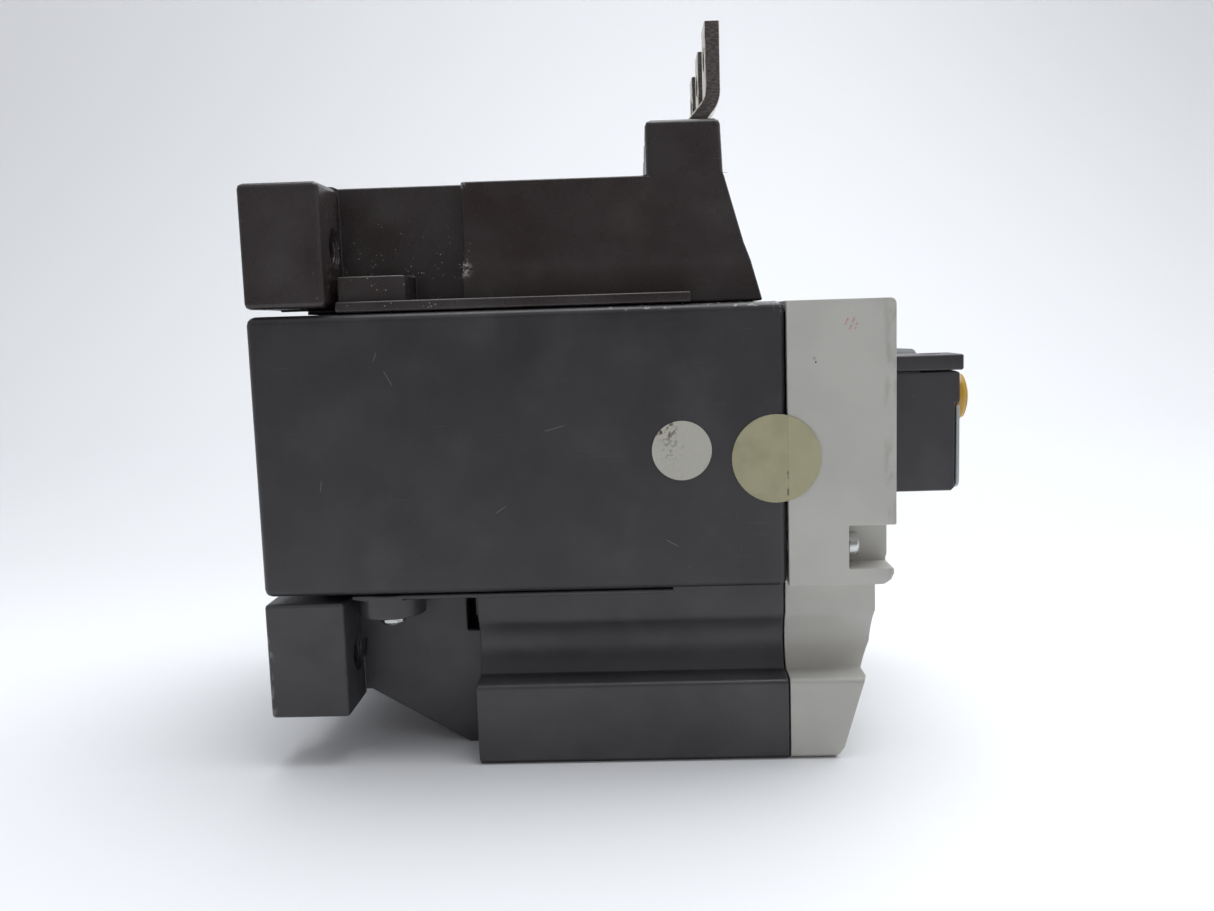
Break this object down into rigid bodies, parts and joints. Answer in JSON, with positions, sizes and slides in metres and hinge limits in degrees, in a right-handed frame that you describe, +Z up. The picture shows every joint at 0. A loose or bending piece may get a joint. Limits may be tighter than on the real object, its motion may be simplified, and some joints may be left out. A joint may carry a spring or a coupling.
{
  "type": "motor protection breaker",
  "caption": "Box-shaped motor protection breaker with a turning front handle, bent supply lugs on top, load clamps below and mounting feet.",
  "frame": {"origin": "centre of the rear mounting face, midway up the body", "axes": "+X across the width, +Y backwards out of the mounting face, so the operating front faces -Y, and +Z up towards the supply lugs"},
  "size_m": [0.0903, 0.1625, 0.1573],
  "materials": {
    "black_moulding": "smooth moulded",
    "dark_moulding": "smooth moulded",
    "grey_moulding": "fine satin",
    "handle_black": "satin",
    "plate_grey": "satin",
    "yellow_cap": "glossy",
    "button_grey": "satin",
    "zinc_screw": "plated",
    "tinned_bar": "tinned, with sheared edges",
    "copper": "drawn",
    "steel": "bare",
    "natural_moulding": "matt",
    "white_label": "matt",
    "beige_label": "satin"
  },
  "bodies": {
    "housing": {"mid_housing": "black_moulding", "upper_housing": "dark_moulding", "lower_housing": "black_moulding", "front_cover": "grey_moulding", "cover_screw_left": "zinc_screw", "cover_screw_right": "zinc_screw", "housing_screw_left": "zinc_screw", "housing_screw_right": "zinc_screw", "phase_barrier_left": "natural_moulding", "phase_barrier_right": "natural_moulding", "mechanism_frame": "steel", "button_spring": "steel", "main_spring": "steel", "white_dot": "white_label", "beige_dot": "beige_label", "line_bar_1": "tinned_bar", "contact_bar_1": "copper", "load_bar_1": "tinned_bar", "trip_coil_1": "copper", "coil_yoke_1": "steel", "bimetal_1": "steel", "contact_spring_1": "steel", "line_bar_2": "tinned_bar", "contact_bar_2": "copper", "load_bar_2": "tinned_bar", "trip_coil_2": "copper", "coil_yoke_2": "steel", "bimetal_2": "steel", "contact_spring_2": "steel", "line_bar_3": "tinned_bar", "contact_bar_3": "copper", "load_bar_3": "tinned_bar", "trip_coil_3": "copper", "coil_yoke_3": "steel", "bimetal_3": "steel", "contact_spring_3": "steel"},
    "handle": {"rotary_handle": "handle_black", "handle_plate": "plate_grey", "handle_shaft": "steel", "drive_cam": "natural_moulding"},
    "lock_slide": {"lock_slide": "handle_black"},
    "test_button": {"test_button": "yellow_cap"},
    "contact_carrier": {"contact_carrier": "natural_moulding", "moving_contact_1": "copper", "moving_contact_2": "copper", "moving_contact_3": "copper"},
    "stop_button": {"stop_button": "button_grey"},
    "setting_dial": {"setting_dial": "plate_grey"},
    "trip_bar": {"trip_bar": "natural_moulding"},
    "trip_link": {"trip_link": "natural_moulding"},
    "latch_lever": {"latch_lever": "steel"},
    "plunger_1": {"plunger_1": "steel"},
    "clamp_cage_1": {"clamp_cage_1": "zinc_screw"},
    "clamp_screw_1": {"clamp_screw_1": "zinc_screw"},
    "plunger_2": {"plunger_2": "steel"},
    "clamp_cage_2": {"clamp_cage_2": "zinc_screw"},
    "clamp_screw_2": {"clamp_screw_2": "zinc_screw"},
    "plunger_3": {"plunger_3": "steel"},
    "clamp_cage_3": {"clamp_cage_3": "zinc_screw"},
    "clamp_screw_3": {"clamp_screw_3": "zinc_screw"}
  },
  "joints": [
    {"name": "handle_turn", "type": "hinge", "parent": "housing", "child": "handle", "pos_m": [0, -0.1356, 0], "axis": [0, -1, 0], "range_deg": [0, 90.2], "deforming": ["main_spring"]},
    {"name": "lock_slide_pull", "type": "slide", "parent": "handle", "child": "lock_slide", "axis": [0, -1, 0], "range_m": [0, 0.01]},
    {"name": "test_button_press", "type": "slide", "parent": "handle", "child": "test_button", "axis": [0, 1, 0], "range_m": [0, 0.0015], "stiffness_N_per_m": 900, "springref_m": -0.0005},
    {"name": "contact_travel", "type": "slide", "parent": "housing", "child": "contact_carrier", "axis": [0, 1, 0], "range_m": [0, 0.006], "deforming": ["contact_spring_1", "contact_spring_2", "contact_spring_3"]},
    {"name": "stop_button_press", "type": "slide", "parent": "housing", "child": "stop_button", "axis": [0, 1, 0], "range_m": [0, 0.003], "stiffness_N_per_m": 700, "springref_m": -0.001, "deforming": ["button_spring"]},
    {"name": "setting_turn", "type": "hinge", "parent": "housing", "child": "setting_dial", "pos_m": [-0.021, -0.1345, 0.015], "axis": [0, -1, 0], "range_deg": [-120, 120]},
    {"name": "trip_bar_swing", "type": "hinge", "parent": "housing", "child": "trip_bar", "pos_m": [0, -0.0665, 0.022], "axis": [-1, 0, 0], "range_deg": [0, 8]},
    {"name": "trip_link_push", "type": "slide", "parent": "housing", "child": "trip_link", "axis": [0, -1, 0], "range_m": [0, 0.0041], "stiffness_N_per_m": 120, "springref_m": -0.001},
    {"name": "latch_lever_swing", "type": "hinge", "parent": "housing", "child": "latch_lever", "pos_m": [0.01835, -0.1033, -0.018], "axis": [1, 0, 0], "range_deg": [0, 24]},
    {"name": "plunger_1_strike", "type": "slide", "parent": "housing", "child": "plunger_1", "axis": [0, -1, 0], "range_m": [0, 0.0025], "stiffness_N_per_m": 300, "springref_m": -0.001},
    {"name": "plunger_2_strike", "type": "slide", "parent": "housing", "child": "plunger_2", "axis": [0, -1, 0], "range_m": [0, 0.0025], "stiffness_N_per_m": 300, "springref_m": -0.001},
    {"name": "plunger_3_strike", "type": "slide", "parent": "housing", "child": "plunger_3", "axis": [0, -1, 0], "range_m": [0, 0.0025], "stiffness_N_per_m": 300, "springref_m": -0.001},
    {"name": "clamp_screw_1_turn", "type": "hinge", "parent": "housing", "child": "clamp_screw_1", "pos_m": [-0.027, -0.1035, -0.0585], "axis": [0, -1, 0], "range_deg": [0, 1441]},
    {"name": "clamp_cage_1_lift", "type": "slide", "parent": "housing", "child": "clamp_cage_1", "axis": [0, -1, 0], "range_m": [0, 0.0032]},
    {"name": "clamp_screw_2_turn", "type": "hinge", "parent": "housing", "child": "clamp_screw_2", "pos_m": [0, -0.1035, -0.0585], "axis": [0, -1, 0], "range_deg": [0, 1441]},
    {"name": "clamp_cage_2_lift", "type": "slide", "parent": "housing", "child": "clamp_cage_2", "axis": [0, -1, 0], "range_m": [0, 0.0032]},
    {"name": "clamp_screw_3_turn", "type": "hinge", "parent": "housing", "child": "clamp_screw_3", "pos_m": [0.027, -0.1035, -0.0585], "axis": [0, -1, 0], "range_deg": [0, 1441]},
    {"name": "clamp_cage_3_lift", "type": "slide", "parent": "housing", "child": "clamp_cage_3", "axis": [0, -1, 0], "range_m": [0, 0.0032]}
  ],
  "couplings": [
    {"joint": "handle_turn", "follows": "contact_travel", "rad_per_m": 262},
    {"joint": "trip_bar_swing", "follows": "trip_link_push", "rad_per_m": 33.9},
    {"joint": "latch_lever_swing", "follows": "trip_link_push", "rad_per_m": 100},
    {"joint": "clamp_screw_1_turn", "follows": "clamp_cage_1_lift", "rad_per_m": 7854},
    {"joint": "clamp_screw_2_turn", "follows": "clamp_cage_2_lift", "rad_per_m": 7854},
    {"joint": "clamp_screw_3_turn", "follows": "clamp_cage_3_lift", "rad_per_m": 7854}
  ]
}
